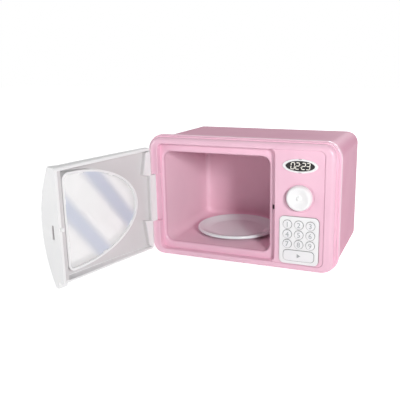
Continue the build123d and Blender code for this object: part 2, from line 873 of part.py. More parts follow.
# Space inside the hollow door, round the window's wall, the hinge blocks and the ledge
with BuildPart(mode=Mode.PRIVATE) as door_space:
    low = door_bottom + door_rim
    high = door_top - door_rim
    add(round_tray(low, high, door_start + door_rim, door_end - door_rim, door_wall))
    corners = door_space.edges().filter_by(Axis((0, 0, 0), inward)).sort_by(Axis((0, 0, 0), along))
    fillet(corners[:2], door_corner - door_rim)
    with BuildSketch(door_side(door_end - door_rim)):
        with BuildLine():
            Polyline(
                (bow(high) - door_wall, high),
                (door_round, high),
                (door_round, low),
                (bow(low) - door_wall, low),
            )
            ThreePointArc(
                (bow(low) - door_wall, low),
                (bow(handle_middle) - door_wall, handle_middle),
                (bow(high) - door_wall, high),
            )
        make_face()
    extrude(amount=handle_width - door_rim - door_wall)
    with BuildSketch(door_face(door_ledge_drop)):
        plain_outline(door_end - door_rim - door_ledge_width, door_end, door_bottom, door_top)
    extrude(amount=door_ledge_thickness, mode=Mode.SUBTRACT)
    with BuildSketch(door_face(window_wall_drop)):
        add(window_outline(0))
    extrude(amount=handle_height, mode=Mode.SUBTRACT)
    with BuildSketch(door_face(hinge_block_drop)):
        for block in (upper_block, lower_block):
            with BuildLine():
                Polyline(*block, close=True)
            make_face()
    extrude(amount=handle_height, mode=Mode.SUBTRACT)

# Door shell: white moulding with the handle, the window's wall, the hinge blocks and the barrel
with BuildPart() as door_shell:
    add(door_form.part)
    add(door_space.part, mode=Mode.SUBTRACT)
    with BuildSketch(door_level(notch_low + barrel_gap)):
        Circle(barrel_radius)
        plain_outline(0, door_start + door_wall, -barrel_radius, barrel_arm)
    extrude(amount=notch_high - notch_low - 2 * barrel_gap)
    with BuildSketch(door_level(notch_low)):
        Circle(pin_radius + pin_gap)
    extrude(amount=notch_high - notch_low, mode=Mode.SUBTRACT)
    with BuildSketch(door_face(-overrun)):
        add(window_outline(window_wall + pane_ledge))
    extrude(amount=handle_height, mode=Mode.SUBTRACT)
    with BuildSketch(door_face(-overrun)):
        add(window_outline(window_wall))
    extrude(amount=overrun + pane_drop + pane_thickness, mode=Mode.SUBTRACT)
    with BuildSketch(door_face(pane_drop - slip)):
        with Locations(*clip_places):
            Circle(clip_length / 2)
        add(window_outline(window_wall / 2), mode=Mode.INTERSECT)
        add(window_outline(window_wall + clip_reach), mode=Mode.SUBTRACT)
    extrude(amount=-clip_thickness)
    with BuildSketch(door_side(door_end + overrun)):
        plain_outline(slit_start, slit_start + slit_width, slit_low, slit_high)
    extrude(amount=overrun + door_rim, mode=Mode.SUBTRACT)
    with BuildSketch(door_face(-overrun)):
        with Locations((latch_reach, latch_height)):
            Rectangle(latch_thickness + slip, latch_width + slip)
    extrude(amount=overrun + latch_root, mode=Mode.SUBTRACT)
save(door_shell.part, "door_shell")

# Door window: clear pane on the ledge inside the window's wall
with BuildPart() as door_window:
    with BuildSketch(door_face(pane_drop)):
        add(window_outline(window_wall + slip))
    extrude(amount=pane_thickness)
save(door_window.part, "door_window")

# Door latch: barbed hook pressed into the door's free edge
with BuildPart() as door_latch:
    with BuildSketch(door_face(-latch_nose)):
        with Locations((latch_reach, latch_height)):
            Rectangle(latch_thickness, latch_width)
    extrude(amount=latch_nose + latch_root)
    with BuildSketch(door_face(-latch_nose)):
        with Locations((latch_reach - latch_thickness / 2, latch_height)):
            Rectangle(2 * latch_barb, latch_width)
    extrude(amount=latch_barb_length)
save(door_latch.part, "door_latch")

# Display bezel: white oval ring with a collar through the panel
with BuildPart() as display_bezel:
    with BuildSketch(facing(panel_depth)):
        with Locations((control_x, display_height)):
            Ellipse(bezel_long, bezel_short)
    extrude(amount=bezel_proud)
    fillet(display_bezel.edges().group_by(Axis.Y)[0], bezel_round)
    with BuildSketch(facing(panel_back + bezel_collar_length)):
        with Locations((control_x, display_height)):
            Ellipse(lens_long + bezel_collar, lens_short + bezel_collar)
    extrude(amount=panel_back + bezel_collar_length - panel_depth)
    with BuildSketch(facing(panel_back + bezel_collar_length)):
        with Locations((control_x, display_height)):
            Ellipse(lens_long, lens_short)
    extrude(amount=panel_back + bezel_collar_length, mode=Mode.SUBTRACT)
save(display_bezel.part, "display_bezel")

# Display lens: dark oval pane inside the bezel
with BuildPart() as display_lens:
    with BuildSketch(facing(panel_depth - bezel_proud + lens_drop + lens_thickness)):
        with Locations((control_x, display_height)):
            Ellipse(lens_long - thread_gap, lens_short - thread_gap)
    extrude(amount=lens_thickness)
save(display_lens.part, "display_lens")

# Display module: block with the lit digits, soldered to its board
module_front = panel_back + bezel_collar_length
with BuildPart() as display_module:
    with BuildSketch(facing(module_front + module_thickness)):
        with Locations((control_x, display_height)):
            Rectangle(module_width, module_height)
    extrude(amount=module_thickness)
save(display_module.part, "display_module")

# Display board: small circuit board on four bosses
with BuildPart() as display_board:
    with BuildSketch(facing(module_front + module_thickness + board_thickness)):
        with Locations((control_x, display_height)):
            Rectangle(display_board_width, display_board_height)
        with Locations(*display_bosses):
            Circle(screw_shank + thread_gap, mode=Mode.SUBTRACT)
    extrude(amount=board_thickness)
save(display_board.part, "display_board")

# Control board: carries the button switches and the knob's rotary switch
with BuildPart() as control_board:
    with BuildSketch(facing(board_depth + board_thickness)):
        plain_outline(board_x0, board_x1, board_bottom, board_top)
        with Locations(*board_bosses):
            Circle(screw_shank + thread_gap, mode=Mode.SUBTRACT)
    extrude(amount=board_thickness)
save(control_board.part, "control_board")

# Board screws: four in each board
board_screws = stepped_screw(
    board_depth + board_thickness, board_bosses, screw_head, screw_head_height, screw_shank, screw_length
) + stepped_screw(
    module_front + module_thickness + board_thickness,
    display_bosses,
    screw_head,
    screw_head_height,
    screw_shank,
    screw_length,
)
save(board_screws, "board_screws")

# Control knob: turned white knob with a dished face and a small nub
knob_seat = depth_y(panel_depth + knob_seat_depth)
knob_axis = Axis((control_x, knob_seat, knob_height), (0, 1, 0))
with BuildPart() as control_knob:
    with BuildSketch(Plane(origin=(control_x, knob_seat, knob_height), x_dir=(1, 0, 0), z_dir=(0, 0, 1))):
        with BuildLine():
            Polyline(
                (0, knob_dish - knob_proud - nub_proud),
                (0, -knob_floor - shaft_grip),
                (shaft_radius + thread_gap, -knob_floor - shaft_grip),
                (shaft_radius + thread_gap, -knob_floor),
                (knob_radius, -knob_floor),
                (knob_radius, -knob_skirt),
            )
            Spline(
                (knob_radius, -knob_skirt),
                (knob_crest, -knob_proud),
                tangents=((0, -1), (-1, 0)),
                tangent_scalars=(shoulder_rise, shoulder_run),
            )
            Spline(
                (knob_crest, -knob_proud),
                (nub_radius, knob_dish - knob_proud),
                tangents=((-1, 0), (-1, 0)),
                tangent_scalars=(shoulder_run, 1),
            )
            Spline(
                (nub_radius, knob_dish - knob_proud),
                (0, knob_dish - knob_proud - nub_proud),
                tangents=((-nub_lean, -1), (-1, 0)),
            )
        make_face()
    revolve(axis=knob_axis)
save(control_knob.part, "control_knob")

# Knob shaft: pressed into the knob, turns in the rotary switch
switch_front = panel_back + switch_neck_height
with BuildPart() as knob_shaft:
    with BuildSketch(facing(board_depth - switch_neck_height)):
        with Locations((control_x, knob_height)):
            Circle(shaft_radius)
    extrude(amount=board_depth - switch_neck_height - panel_depth - knob_seat_depth + knob_floor + shaft_grip)
save(knob_shaft.part, "knob_shaft")

# Rotary switch: on the control board, its neck against the back of the panel
with BuildPart() as rotary_switch:
    with BuildSketch(facing(board_depth)):
        with Locations((control_x, knob_height)):
            Rectangle(switch_width, switch_width)
    extrude(amount=board_depth - switch_front)
    with BuildSketch(facing(switch_front)):
        with Locations((control_x, knob_height)):
            Circle(switch_neck)
    extrude(amount=switch_neck_height)
    with BuildSketch(facing(board_depth - switch_neck_height + seat_gap)):
        with Locations((control_x, knob_height)):
            Circle(shaft_radius + shaft_gap)
    extrude(amount=board_depth, mode=Mode.SUBTRACT)
save(rotary_switch.part, "rotary_switch")

# Keypad plate: white plate on the panel with nine round holes and a wide one
button_places = [
    (control_x + (column - 1) * button_pitch_x, button_top_row - row * button_pitch_z)
    for row in range(button_rows)
    for column in range(button_rows)
]
start_place = (control_x, start_centre)
with BuildPart() as keypad_plate:
    with BuildSketch(facing(keypad_seat)):
        box_outline(keypad_x0, keypad_x1, keypad_bottom, keypad_top, keypad_radius)
    extrude(amount=keypad_seat_depth + keypad_proud)
    fillet(keypad_plate.edges().group_by(Axis.Y)[0], keypad_round)
    with BuildSketch(facing(keypad_seat)):
        with Locations(*button_places):
            Circle(button_radius + button_gap)
        with Locations(start_place):
            RectangleRounded(
                start_width + 2 * button_gap, start_height + 2 * button_gap, start_radius + button_gap
            )
    extrude(amount=keypad_seat_depth + keypad_proud, mode=Mode.SUBTRACT)
    fillet(keypad_plate.faces().sort_by(Axis.Y)[0].inner_wires().edges(), keypad_hole_round)
save(keypad_plate.part, "keypad_plate")

# Number buttons: round caps, each with a flange behind the plate and a stem to its switch
button_front = panel_depth - keypad_proud - button_proud
flange_front = keypad_seat + seat_gap
stem_end = board_depth - tact_height - tact_plunger_height - button_travel - seat_gap
for number, place in enumerate(button_places, start=1):
    with BuildPart() as number_button:
        with BuildSketch(facing(flange_front)):
            with Locations(place):
                Circle(button_radius)
        extrude(amount=flange_front - button_front)
        fillet(number_button.edges().group_by(Axis.Y)[0], button_round)
        with BuildSketch(facing(flange_front + button_flange_thickness)):
            with Locations(place):
                Circle(button_radius + button_flange)
        extrude(amount=button_flange_thickness)
        with BuildSketch(facing(stem_end)):
            with Locations(place):
                Circle(button_stem)
        extrude(amount=stem_end - flange_front)
    save(number_button.part, f"number_button_{number}")

# Start button: the wide cap under the numbers
with BuildPart() as start_button:
    with BuildSketch(facing(flange_front)):
        with Locations(start_place):
            RectangleRounded(start_width, start_height, start_radius)
    extrude(amount=flange_front - button_front)
    fillet(start_button.edges().group_by(Axis.Y)[0], button_round)
    with BuildSketch(facing(flange_front + button_flange_thickness)):
        with Locations(start_place):
            RectangleRounded(
                start_width + 2 * button_flange,
                start_height + 2 * button_flange,
                start_radius + button_flange,
            )
    extrude(amount=button_flange_thickness)
    with BuildSketch(facing(stem_end)):
        with Locations(start_place):
            Circle(button_stem)
    extrude(amount=stem_end - flange_front)
save(start_button.part, "start_button")

# Button switches: one on the board under each button
with BuildPart() as button_switches:
    with BuildSketch(facing(board_depth)):
        with Locations(*button_places, start_place):
            Rectangle(tact_width, tact_width)
    extrude(amount=tact_height)
    with BuildSketch(facing(board_depth - tact_height)):
        with Locations(*button_places, start_place):
            Circle(tact_plunger)
    extrude(amount=tact_plunger_height)
save(button_switches.part, "button_switches")

# Turntable plate: shallow dish with a raised rim and a six-sided pocket for the hub's key
hub_top = opening_z0 + seat_gap + hub_thickness
with BuildPart() as turntable_plate:
    with BuildSketch(Plane(origin=(turntable_x, turntable_y, hub_top), x_dir=(1, 0, 0), z_dir=(0, -1, 0))):
        with BuildLine():
            Polyline((0, plate_thickness), (0, 0), (plate_well, 0))
            Spline(
                (plate_well, 0),
                (plate_radius, plate_rise + plate_thickness - plate_lip),
                tangents=((1, well_slope), (1, rim_slope)),
            )
            ThreePointArc(
                (plate_radius, plate_rise + plate_thickness - plate_lip),
                (plate_radius + plate_lip / 2, plate_rise + plate_thickness - plate_lip / 2),
                (plate_radius, plate_rise + plate_thickness),
            )
            Spline(
                (plate_radius, plate_rise + plate_thickness),
                (plate_well, plate_thickness),
                tangents=((-1, -rim_slope), (-1, -well_slope)),
            )
            Line((plate_well, plate_thickness), (0, plate_thickness))
        make_face()
    revolve(axis=Axis((turntable_x, turntable_y, 0), (0, 0, 1)))
    with BuildSketch(Plane.XY.offset(hub_top)):
        with Locations((turntable_x, turntable_y)):
            RegularPolygon(hub_key_radius + key_gap, hub_sides)
    extrude(amount=hub_key_height + slip, mode=Mode.SUBTRACT)
save(turntable_plate.part, "turntable_plate")

# Turntable hub: keyed disc under the plate, with its shaft through the floor
with BuildPart() as turntable_hub:
    with BuildSketch(Plane.XY.offset(opening_z0 + seat_gap)):
        with Locations((turntable_x, turntable_y)):
            Circle(hub_radius)
    extrude(amount=hub_thickness)
    with BuildSketch(Plane.XY.offset(hub_top)):
        with Locations((turntable_x, turntable_y)):
            RegularPolygon(hub_key_radius, hub_sides)
    extrude(amount=hub_key_height)
    with BuildSketch(Plane.XY.offset(opening_z0 + seat_gap)):
        with Locations((turntable_x, turntable_y)):
            Circle(hub_shaft)
    extrude(amount=-hub_shaft_length)
save(turntable_hub.part, "turntable_hub")

# Turntable motor: flat gear motor against the underside of the liner's floor
liner_under = opening_z0 - liner_wall
ear_top = liner_under - motor_boss_height
with BuildPart() as turntable_motor:
    with BuildSketch(Plane.XY.offset(liner_under - motor_height)):
        with Locations((turntable_x, turntable_y)):
            Circle(motor_radius)
    extrude(amount=motor_height)
    with BuildSketch(Plane.XY.offset(ear_top - motor_ear_thickness)):
        with Locations((turntable_x, turntable_y)):
            SlotCenterToCenter(2 * motor_ear_reach, 2 * motor_ear_radius)
    extrude(amount=motor_ear_thickness)
    with BuildSketch(Plane.XY.offset(ear_top - motor_ear_thickness)):
        with Locations(*motor_ears):
            Circle(screw_shank + thread_gap)
    extrude(amount=motor_ear_thickness, mode=Mode.SUBTRACT)
    with BuildSketch(Plane.XY.offset(liner_under)):
        with Locations((turntable_x, turntable_y)):
            Circle(hub_shaft + shaft_gap)
    extrude(amount=-hub_shaft_length + liner_wall, mode=Mode.SUBTRACT)
save(turntable_motor.part, "turntable_motor")

# Motor screws: from below, through the motor's ears into the liner's bosses
with BuildPart() as motor_screws:
    with BuildSketch(Plane.XY.offset(ear_top - motor_ear_thickness - screw_head_height)):
        with Locations(*motor_ears):
            Circle(screw_head)
    extrude(amount=screw_head_height)
    with BuildSketch(Plane.XY.offset(ear_top - motor_ear_thickness)):
        with Locations(*motor_ears):
            Circle(screw_shank)
    extrude(amount=screw_length)
save(motor_screws.part, "motor_screws")

# Speaker: dished basket and magnet, held in the ring on the back wall
with BuildPart() as speaker:
    seat = (speaker_x, depth_y(back_inner), speaker_height)
    with BuildSketch(Plane(origin=seat, x_dir=(1, 0, 0), z_dir=(0, 0, 1))):
        with BuildLine():
            Polyline(
                (speaker_radius, 0),
                (speaker_radius, -speaker_rim),
                (magnet_radius + speaker_rim, -speaker_depth - speaker_rim),
                (magnet_radius, -speaker_depth - speaker_rim),
                (magnet_radius, -speaker_depth - magnet_height),
                (0, -speaker_depth - magnet_height),
                (0, -speaker_depth),
                (speaker_radius - speaker_rim, 0),
                close=True,
            )
        make_face()
    revolve(axis=Axis((speaker_x, 0, speaker_height), (0, 1, 0)))
save(speaker.part, "speaker")

# Battery box: tray that opens through the back wall, with a bay for the cover's screw
cell_depth = back_inner - box_depth_inside / 2
with BuildPart() as battery_box:
    with BuildSketch(facing(back_inner)):
        box_outline(box_x0, box_x1, box_z0, box_z1, cover_radius)
    extrude(amount=box_depth_inside + box_wall)
    with BuildSketch(facing(back_inner)):
        box_outline(
            box_x0 - box_flange, box_x1 + box_flange, box_z0 - box_flange, box_z1 + box_flange, cover_radius
        )
    extrude(amount=box_flange_thickness)
    with BuildSketch(facing(back_inner)):
        plain_outline(cells_x0, cells_x1, cells_z0, cells_z1)
        plain_outline(cells_x1 + box_wall, box_x1 - box_wall, cells_z0, cells_z1)
        with Locations((bay_x, box_height)):
            Circle(screw_boss, mode=Mode.SUBTRACT)
    extrude(amount=box_depth_inside, mode=Mode.SUBTRACT)
    with BuildSketch(facing(back_inner)):
        with Locations((bay_x, box_height)):
            Circle(screw_shank + thread_gap)
    extrude(amount=screw_length, mode=Mode.SUBTRACT)
save(battery_box.part, "battery_box")

# Batteries: three cells, the middle one the other way round
with BuildPart() as batteries:
    for cell in range(cell_count):
        height = cells_z0 + (cell + 1 / 2) * cell_pitch
        flip = cell % 2
        start = cells_x0 + contact_room + flip * cell_nub_height
        tip = start + cell_length - flip * (cell_length + cell_nub_height)
        with BuildSketch(Plane.YZ.offset(start)):
            with Locations((depth_y(cell_depth), height)):
                Circle(cell_radius)
        extrude(amount=cell_length)
        with BuildSketch(Plane.YZ.offset(tip)):
            with Locations((depth_y(cell_depth), height)):
                Circle(cell_nub)
        extrude(amount=cell_nub_height)
save(batteries.part, "batteries")

# Battery contacts: a plate at each end of each cell, coned where it presses on the flat end
with BuildPart() as battery_contacts:
    for cell in range(cell_count):
        height = cells_z0 + (cell + 1 / 2) * cell_pitch
        for side, end in ((1, cells_x0), (-1, cells_x1)):
            with BuildSketch(Plane.YZ.offset(end)):
                with Locations((depth_y(cell_depth), height)):
                    Rectangle(contact_width, contact_width)
            extrude(amount=side * contact_thickness)
            with BuildSketch(Plane.YZ.offset(end + side * contact_thickness)):
                with Locations((depth_y(cell_depth), height)):
                    Circle(spring_radius)
            with BuildSketch(Plane.YZ.offset(end + side * contact_room)):
                with Locations((depth_y(cell_depth), height)):
                    Circle(spring_tip)
            loft()
save(battery_contacts.part, "battery_contacts")

# Battery cover: flush with the back wall, ribbed for the fingers, held by one screw
with BuildPart() as battery_cover:
    with BuildSketch(facing(body_depth)):
        box_outline(box_x0, box_x1, box_z0, box_z1, cover_radius)
    extrude(amount=wall)
    with BuildSketch(facing(body_depth)):
        with Locations((bay_x, box_height)):
            Circle(screw_head + slip)
    extrude(amount=screw_head_height, mode=Mode.SUBTRACT)
    with BuildSketch(facing(body_depth)):
        with Locations((bay_x, box_height)):
            Circle(screw_shank + thread_gap)
    extrude(amount=wall, mode=Mode.SUBTRACT)
    with BuildSketch(facing(body_depth)):
        with Locations(((box_x0 + cells_x1) / 2, box_height)):
            with GridLocations(cover_rib_pitch, 0, cover_ribs, 1):
                SlotOverall(cover_rib_length, cover_rib, rotation=90)
    extrude(amount=cover_rib_depth, mode=Mode.SUBTRACT)
save(battery_cover.part, "battery_cover")

# Battery cover screw
cover_screw = stepped_screw(
    body_depth - screw_head_height,
    [(bay_x, box_height)],
    screw_head,
    screw_head_height,
    screw_shank,
    screw_length,
)
save(cover_screw, "battery_cover_screw")
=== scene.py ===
import bpy
import numpy as np
from mathutils import Matrix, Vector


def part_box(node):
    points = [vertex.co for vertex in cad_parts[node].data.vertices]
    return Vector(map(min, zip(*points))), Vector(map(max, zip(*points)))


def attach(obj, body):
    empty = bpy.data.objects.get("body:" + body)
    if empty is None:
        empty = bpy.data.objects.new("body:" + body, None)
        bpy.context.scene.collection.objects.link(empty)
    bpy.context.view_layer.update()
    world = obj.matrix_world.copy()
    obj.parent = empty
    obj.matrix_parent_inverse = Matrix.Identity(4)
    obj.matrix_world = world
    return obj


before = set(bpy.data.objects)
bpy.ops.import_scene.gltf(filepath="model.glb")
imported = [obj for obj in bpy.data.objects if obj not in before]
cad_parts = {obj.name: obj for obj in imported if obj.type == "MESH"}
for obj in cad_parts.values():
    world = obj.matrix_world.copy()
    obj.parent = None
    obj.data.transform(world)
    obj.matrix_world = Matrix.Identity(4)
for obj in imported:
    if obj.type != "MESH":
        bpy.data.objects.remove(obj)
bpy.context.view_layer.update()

# --- Viewpoint -------------------------------------------------------------------------------------
# A camera on the right of the oven and above it, at the height of a child's eyes, looking down at the
# open door and the controls. The picture is square, 400 pixels on a side.
picture = 400
camera_place = (0.2856, -0.8744, 0.3215)
camera_yaw = 23.88
camera_pitch = -14.97
camera_roll = -1.46
camera_focal = 600.7
camera_axis = (197.9, 200.8)
camera_nearest = 0.01
sensor = 36.0


def camera_matrix(place, yaw, pitch, roll):
    """Matrix of a camera that looks along +Y, turned left by the yaw, up by the pitch, and then rolled."""
    yaw, pitch, roll = np.radians((yaw, pitch, roll))
    ahead = np.array((-np.sin(yaw) * np.cos(pitch), np.cos(yaw) * np.cos(pitch), np.sin(pitch)))
    right = np.cross(ahead, (0, 0, 1))
    right /= np.linalg.norm(right)
    above = np.cross(right, ahead)
    turned = np.eye(4)
    turned[:3, 0] = right * np.cos(roll) + above * np.sin(roll)
    turned[:3, 1] = above * np.cos(roll) - right * np.sin(roll)
    turned[:3, 2] = -ahead
    turned[:3, 3] = place
    return Matrix(turned.tolist())


camera_data = bpy.data.cameras.new("viewpoint")
camera_data.sensor_width = sensor
camera_data.lens = camera_focal * sensor / picture
camera_data.shift_x = (picture / 2 - camera_axis[0]) / picture
camera_data.shift_y = (camera_axis[1] - picture / 2) / picture
camera_data.clip_start = camera_nearest
camera = bpy.data.objects.new("viewpoint", camera_data)
camera.matrix_world = camera_matrix(camera_place, camera_yaw, camera_pitch, camera_roll)
bpy.context.scene.collection.objects.link(camera)
bpy.context.scene.camera = camera


# --- Pink casing: front frame, rear housing, oven box and battery cover ----------------------------
# Four mouldings in pale pink plastic, with the faint unevenness that a moulding keeps from its tool. The
# front frame is polished. The oven box behind it is painted a little paler, as painted light for its
# inside, and the rear housing and the battery cover are satin, with a deeper pink painted as shade on
# their top and sides.
class Socket:
    """One output of a material's node tree, with arithmetic that adds the nodes it needs."""

    def __init__(self, tree, socket):
        self.tree = tree
        self.socket = socket

    def make(self, kind, settings=None, inputs=None, output=0):
        """Any other node: its type, its settings, then the values or links of its sockets."""
        node = self.tree.nodes.new(kind)
        for name, value in (settings or {}).items():
            setattr(node, name, value)
        for name, value in (inputs or {}).items():
            if isinstance(value, Socket):
                self.tree.links.new(value.socket, node.inputs[name])
            else:
                node.inputs[name].default_value = value
        return Socket(self.tree, node.outputs[output]) if node.outputs else None

    def math(self, operation, *values):
        """A Math node on the values given, in their order."""
        return self.make("ShaderNodeMath", {"operation": operation}, dict(enumerate(values)))

    def __add__(self, other):
        return self.math("ADD", self, other)

    def __sub__(self, other):
        return self.math("SUBTRACT", self, other)

    def __rsub__(self, other):
        return self.math("SUBTRACT", other, self)

    def __mul__(self, other):
        return self.math("MULTIPLY", self, other)

    def __truediv__(self, other):
        return self.math("DIVIDE", self, other)

    def __pow__(self, other):
        return self.math("POWER", self, other)

    __radd__ = __add__
    __rmul__ = __mul__

    def step(self, low, high):
        """Smooth rise from 0 to 1 as the value goes from low to high."""
        settings = {"interpolation_type": "SMOOTHSTEP"}
        return self.make("ShaderNodeMapRange", settings, {"Value": self, "From Min": low, "From Max": high})

    def mix(self, first, second):
        """Colour between two colours, by this value as the share of the second."""
        settings = {"data_type": "RGBA"}
        return self.make("ShaderNodeMix", settings, {"Factor": self, "A": first, "B": second}, 2)

    def noise(self, scale, detail=2.0, rough=0.5):
        """Noise from 0 to 1 on these coordinates, with so many lumps to the metre."""
        inputs = {"Vector": self, "Scale": scale, "Detail": detail, "Roughness": rough}
        return self.make("ShaderNodeTexNoise", None, inputs)


def linear(red, green, blue):
    """Colour as a shader takes it, from the values seen on a screen from 0 to 255."""
    seen = np.array((red, green, blue)) / 255
    light = np.where(seen <= 0.04045, seen / 12.92, ((seen + 0.055) / 1.055) ** 2.4)
    return (*light.tolist(), 1.0)


class Finish:
    """A material with one principled shader, and the object's own coordinates to draw its detail on."""

    def __init__(self, name):
        self.material = bpy.data.materials.new(name)
        self.material.use_nodes = True
        tree = self.material.node_tree
        self.shader = tree.nodes["Principled BSDF"]
        start = Socket(tree, None)
        self.place = start.make("ShaderNodeTexCoord", output="Object")
        apart = self.place.make("ShaderNodeSeparateXYZ", None, {"Vector": self.place})
        node = apart.socket.node
        self.x, self.y, self.z = (Socket(tree, node.outputs[axis]) for axis in "XYZ")

    def set(self, **inputs):
        """Sets or links inputs of the shader, with a low line for each space in an input's name."""
        for name, value in inputs.items():
            target = self.shader.inputs[name.replace("_", " ")]
            if isinstance(value, Socket):
                value.tree.links.new(value.socket, target)
            else:
                target.default_value = value
        return self

    def colour(self):
        """The colour that the shader takes so far."""
        link = self.shader.inputs["Base Color"].links[0]
        return Socket(self.material.node_tree, link.from_socket)

    def relief(self, height, strength, depth):
        """Bump from a height that varies from 0 to 1, so many metres deep."""
        inputs = {"Height": height, "Strength": strength, "Distance": depth}
        return self.set(Normal=height.make("ShaderNodeBump", None, inputs))


flow_scale, touch_scale, skin_scale = 14, 60, 1500
flow_range = (0.3, 0.75)
flow_dulling, touch_dulling = 0.05, 0.10
touch_relief, skin_strength = 0.6, 0.35
plastic_specular = 0.25


def moulded(name, colour, deeper, shine=0.36, grain=0.00002, coat=0.03, haze=0.12):
    """Moulded plastic: slow drifts of colour and gloss from the flow, and a fine skin from the tool."""
    finish = Finish(name)
    flow = finish.place.noise(flow_scale, detail=3)
    skin = finish.place.noise(skin_scale, detail=2)
    touch = finish.place.noise(touch_scale, detail=5, rough=0.6)
    finish.set(
        Base_Color=flow.step(*flow_range).mix(colour, deeper),
        Roughness=shine + touch_dulling * (touch - 0.5) + flow_dulling * flow,
        Specular_IOR_Level=plastic_specular,
        Coat_Weight=coat,
        Coat_Roughness=haze,
    )
    return finish.relief(skin + touch_relief * touch, skin_strength, grain)


smooth_angle = np.radians(32)
join_reach = 0.000002
face_weight = 100


def soften(piece):
    """Joins a piece's loose faces and shades them smooth, but for its sharp edges and its flat faces."""
    mesh = piece.data
    mesh.polygons.foreach_set("use_smooth", np.ones(len(mesh.polygons), bool))
    join = piece.modifiers.new("join", "WELD")
    join.merge_threshold = join_reach
    split = piece.modifiers.new("split", "EDGE_SPLIT")
    split.split_angle = smooth_angle
    split.use_edge_sharp = False
    even = piece.modifiers.new("even", "WEIGHTED_NORMAL")
    even.weight = face_weight
    even.keep_sharp = True
    return piece


def dress(finish, *names):
    """Gives CAD nodes a finish, and smooths their shading."""
    for name in names:
        node = soften(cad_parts[name])
        for place in node.material_slots:
            place.material = finish.material


# Painted light and shade: the liner's paler pink stands in for light in the oven's inside, and the housing's
# deeper pink stands in for shade on its top and sides.
polished_pink, polished_pink_flow = linear(246, 200, 219), linear(242, 194, 214)
lit_pink, lit_pink_flow = linear(250, 213, 227), linear(246, 208, 223)
shaded_pink, shaded_pink_flow = linear(228, 157, 185), linear(224, 151, 181)
polished = moulded("pink_moulding", polished_pink, polished_pink_flow, shine=0.3, coat=0.7, haze=0.22)
dress(polished, "front_frame")
pale = moulded("pink_liner", lit_pink, lit_pink_flow)
dress(pale, "cavity_liner")
satin = moulded("pink_satin", shaded_pink, shaded_pink_flow, shine=0.48, grain=0.00003, coat=0.16, haze=0.35)
dress(satin, "rear_housing", "battery_cover")

# --- Latch, knob and keypad plate ------------------------------------------------------------------
# Three mouldings in the white plastic that the door and the display's ring are made of too. The keypad's
# plate is seated in the frame's panel, and the walls of the gaps round it and in its holes are toned grey
# as painted shade.
clean_white, white_flow = linear(250, 250, 250), linear(246, 246, 247)
white_shine = 0.3
white = moulded("white_moulding", clean_white, white_flow, white_shine)
dress(white, "door_latch", "control_knob")

gap_shade_grey = linear(140, 143, 141)
gap_shade_depths = (0.0002, 0.0006)


def gap_toned(finish, front):
    """Paints shade: tones the walls of a white piece grey from a little behind its front face, in its gaps.
    """
    behind = (finish.y - front).step(*gap_shade_depths)
    return finish.set(Base_Color=behind.mix(finish.colour(), gap_shade_grey))


keypad_white = moulded("white_keypad", clean_white, white_flow, white_shine)
dress(gap_toned(keypad_white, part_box("keypad_plate")[0].y), "keypad_plate")

# --- Door ------------------------------------------------------------------------------------------
# One white moulding with a bowed handle, hollow on the inside, where the wall round the window stands
# up. The hollow, the ledge by the handle and the latch's slit are toned grey as painted shade.
door_axis = (-0.1343, -0.0899)
door_turn = np.radians(-105)
door_reach = 0.007
door_span = (0.0102, 0.1882)
door_heights = (0.0136, 0.171)
door_rim = 0.0036
foot_rim = 0.0047
rim_blend = 0.001
foot_blend = 0.0003
wall_depths = (0.0006, 0.0035)
skin_places = (0, 0.5, 1)
skin_depths = (0.0096, 0.0155, 0.0175)
skin_blend = (0.0006, 0.0018)
ledge_start = 0.177
ledge_depths = (0.0004, 0.001)
ledge_end = 0.004
ledge_blend = 0.0004
window_middle = (0.1645, 0.095)
window_reach = (0.1225, 0.067)
window_end = 0.1765
window_blend = 0.01
slit_depths = (0.011, 0.0154)
slit_heights = (0.0745, 0.0939)
slit_blend = 0.0003
slit_end = (0.0002, 0.0006)
hollow_shade_grey = linear(219, 216, 217)


def door_hollow(finish):
    """Mask of painted shade: 1 in the hollow on the door's inner side and 0 on its rim and its outer skin.

    The place is turned back to the closed door: the reach runs from the hinge's axis to the free edge,
    and the depth outwards from the inner rim. The skin's depth there is a curve through three depths. The
    window is left out: half an ellipse towards the hinge and straight on towards the free edge. The ledge
    by the free edge and the walls of the latch's slit are in.
    """
    east, north = finish.x - door_axis[0], finish.y - door_axis[1]
    reach = east * np.cos(door_turn) + north * np.sin(door_turn)
    depth = east * np.sin(door_turn) - north * np.cos(door_turn) + door_reach
    share = (reach - door_span[0]) / (door_span[1] - door_span[0])
    bend = np.polyfit(skin_places, skin_depths, 2)
    skin = (share * bend[0] + bend[1]) * share + bend[2]
    inside = depth.step(*wall_depths) * (skin - depth).step(*skin_blend)
    ledge = depth.step(*ledge_depths) * (ledge_end - depth).step(0, ledge_blend)
    ledge *= (reach - ledge_start).step(0, ledge_blend)
    inside = inside.math("MAXIMUM", inside, ledge)
    low, high = door_span[0] + door_rim, door_span[1] - door_rim
    across = (reach - low).step(0, rim_blend) * (high - reach).step(0, rim_blend)
    low, high = door_heights[0] + foot_rim, door_heights[1] - door_rim
    upright = (finish.z - low).step(0, foot_blend) * (high - finish.z).step(0, rim_blend)
    hollow = inside * across * upright
    side = (reach - window_middle[0]) / window_reach[0]
    side = side.math("MINIMUM", side, 0.0)
    up = (finish.z - window_middle[1]) / window_reach[1]
    dome = (side * side + up * up) ** 0.5
    window = (1 - dome.step(1, 1 + window_blend)) * (window_end - reach).step(-ledge_blend, 0)
    slit = (door_span[1] - reach).step(*slit_end) * (reach - ledge_start).step(0, rim_blend)
    for along, (low, high) in ((depth, slit_depths), (finish.z, slit_heights)):
        slit *= (along - low).step(-slit_blend, 0) * (high - along).step(-slit_blend, 0)
    hollow *= 1 - window
    return hollow.math("MAXIMUM", hollow, slit)


door_white = moulded("white_door", clean_white, white_flow, white_shine)
# Painted shade: the mask tones the door grey where shade falls in its hollow, ledge and slit.
door_white.set(Base_Color=door_hollow(door_white).mix(door_white.colour(), hollow_shade_grey))
dress(door_white, "door_shell")
